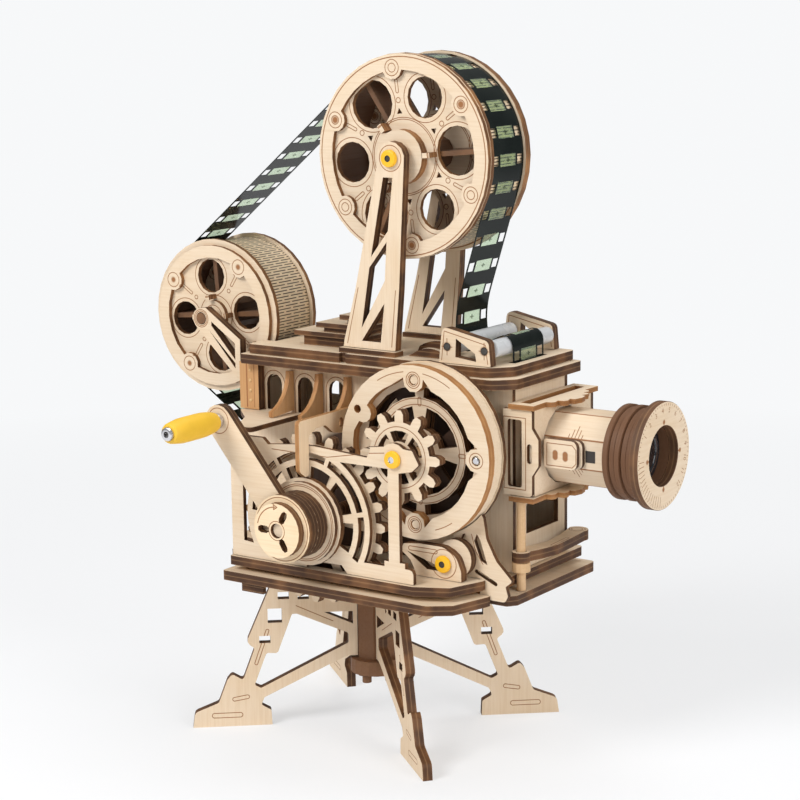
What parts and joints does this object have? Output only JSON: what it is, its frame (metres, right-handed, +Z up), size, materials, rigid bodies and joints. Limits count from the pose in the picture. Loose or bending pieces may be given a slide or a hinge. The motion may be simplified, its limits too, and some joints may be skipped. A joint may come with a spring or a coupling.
{
  "type": "hand-cranked film projector",
  "caption": "Hand-cranked toy film projector of laser-cut plywood: body box on a splayed stand, geared crank, film reels above and behind, sliding lens.",
  "frame": {"origin": "on the floor under the axis of the stand's column", "axes": "+X towards the lens, +Z up, -Y towards the side with the gears and the crank"},
  "size_m": [0.2636, 0.1698, 0.31],
  "materials": {
    "basswood_ply": "bare laser-cut plywood, matt, with browned cut edges",
    "dark_stained_ply": "dark-stained stacked plywood, matt",
    "yellow_plastic": "moulded plastic, satin to gloss",
    "bright_steel": "bright screw and washer",
    "roller_tube": "smooth grey metal tube",
    "film_base": "dark transparent film, glossy",
    "lens_glass": "clear lens"
  },
  "bodies": {
    "stand": {"leg_front_far": "basswood_ply", "leg_front_near": "basswood_ply", "leg_rear_far": "basswood_ply", "leg_rear_near": "basswood_ply", "column": "basswood_ply", "base_lower": "basswood_ply", "base_spacer": "basswood_ply", "base_upper": "basswood_ply", "wall_near": "basswood_ply", "wall_far": "basswood_ply", "wall_front": "basswood_ply", "wall_rear": "basswood_ply", "corner_pilaster": "basswood_ply", "near_shelf": "basswood_ply", "rib_1": "basswood_ply", "rib_2": "basswood_ply", "rib_3": "basswood_ply", "frame_bracket": "basswood_ply", "top_lower": "basswood_ply", "top_upper": "basswood_ply", "reel_frame_near": "basswood_ply", "reel_frame_far": "basswood_ply", "rear_strut_near": "basswood_ply", "rear_strut_far": "basswood_ply", "roller_bracket_near": "basswood_ply", "roller_bracket_far": "basswood_ply", "gear_frame": "basswood_ply", "shutter_ring": "basswood_ply", "spoke_frame": "basswood_ply", "back_plate": "basswood_ply", "low_bracket": "basswood_ply", "low_bush": "yellow_plastic", "side_brace": "basswood_ply", "lens_hood": "basswood_ply", "hood_roof": "basswood_ply", "hood_floor": "basswood_ply", "lever_dowel": "basswood_ply", "film_strip": "film_base"},
    "crank": {"crank_cap": "basswood_ply", "crank_arm": "basswood_ply", "drive_gear": "basswood_ply", "grip_screw": "bright_steel"},
    "grip": {"crank_grip": "yellow_plastic"},
    "pinion_axle": {"pinion": "basswood_ply", "pinion_shaft": "yellow_plastic"},
    "top_reel": {"top_reel_near": "basswood_ply", "top_reel_far": "basswood_ply", "top_reel_drum": "basswood_ply", "top_reel_axle": "yellow_plastic"},
    "rear_reel": {"rear_reel_near": "basswood_ply", "rear_reel_far": "basswood_ply", "rear_reel_drum": "basswood_ply"},
    "roller_rear": {"rear_roller": "roller_tube"},
    "roller_front": {"front_roller": "roller_tube"},
    "lens": {"lens_tube": "basswood_ply", "ring_stack": "dark_stained_ply", "lens_dial": "basswood_ply", "lens_glass": "lens_glass"},
    "lever": {"front_lever": "basswood_ply"}
  },
  "joints": [
    {"name": "crank_turn", "type": "hinge", "parent": "stand", "child": "crank", "pos_m": [0.0087, 0, 0.11], "axis": [0, 1, 0], "continuous": true},
    {"name": "grip_spin", "type": "hinge", "parent": "crank", "child": "grip", "pos_m": [-0.02669, 0, 0.1534], "axis": [0, 1, 0], "continuous": true},
    {"name": "pinion_turn", "type": "hinge", "parent": "stand", "child": "pinion_axle", "pos_m": [0.0548, 0, 0.1424], "axis": [0, 1, 0], "continuous": true},
    {"name": "top_reel_turn", "type": "hinge", "parent": "stand", "child": "top_reel", "pos_m": [0.03015, 0, 0.2653], "axis": [0, 1, 0], "continuous": true},
    {"name": "rear_reel_turn", "type": "hinge", "parent": "stand", "child": "rear_reel", "pos_m": [-0.078, 0, 0.1876], "axis": [0, 1, 0], "continuous": true},
    {"name": "rear_roller_turn", "type": "hinge", "parent": "stand", "child": "roller_rear", "pos_m": [0.0602, 0, 0.1861], "axis": [0, 1, 0], "continuous": true},
    {"name": "front_roller_turn", "type": "hinge", "parent": "stand", "child": "roller_front", "pos_m": [0.079, 0, 0.1856], "axis": [0, 1, 0], "continuous": true},
    {"name": "lens_slide", "type": "slide", "parent": "stand", "child": "lens", "axis": [1, 0, 0], "range_m": [0, 0.006]},
    {"name": "lever_swing", "type": "hinge", "parent": "stand", "child": "lever", "pos_m": [0.0943, -0.024, 0.0951], "axis": [0, 0, 1], "range_deg": [-100, 0]}
  ],
  "couplings": [
    {"joint": "pinion_turn", "follows": "crank_turn", "ratio": -2},
    {"joint": "top_reel_turn", "follows": "crank_turn", "ratio": 0.0735},
    {"joint": "rear_reel_turn", "follows": "crank_turn", "ratio": 0.0923},
    {"joint": "front_roller_turn", "follows": "crank_turn", "ratio": 0.7234},
    {"joint": "rear_roller_turn", "follows": "crank_turn", "ratio": -0.7234}
  ]
}
